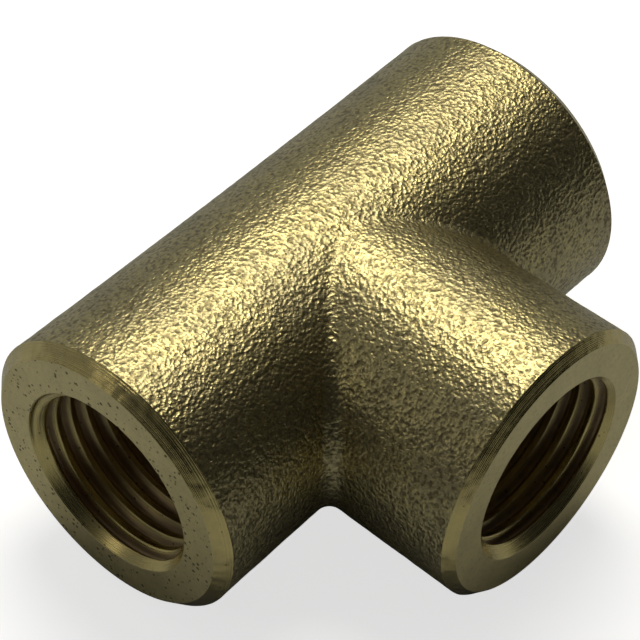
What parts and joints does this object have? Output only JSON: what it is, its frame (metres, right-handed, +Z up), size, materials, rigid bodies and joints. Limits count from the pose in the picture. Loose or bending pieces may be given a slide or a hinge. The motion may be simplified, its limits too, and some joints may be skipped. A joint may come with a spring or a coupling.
{
  "type": "tee fitting",
  "caption": "Forged brass equal tee fitting with a female parallel pipe thread in each end of the run and in the branch.",
  "frame": {"origin": "where the axes of the run and the branch cross", "axes": "X along the run, -Y out of the branch port, +Z up, square to both axes"},
  "size_m": [0.0286, 0.0217, 0.0146],
  "materials": {
    "brass": "forged and shot-blasted outside, machined bright on the faces, chamfers and threads"
  },
  "bodies": {
    "root": {"tee_body": "brass"}
  },
  "joints": []
}
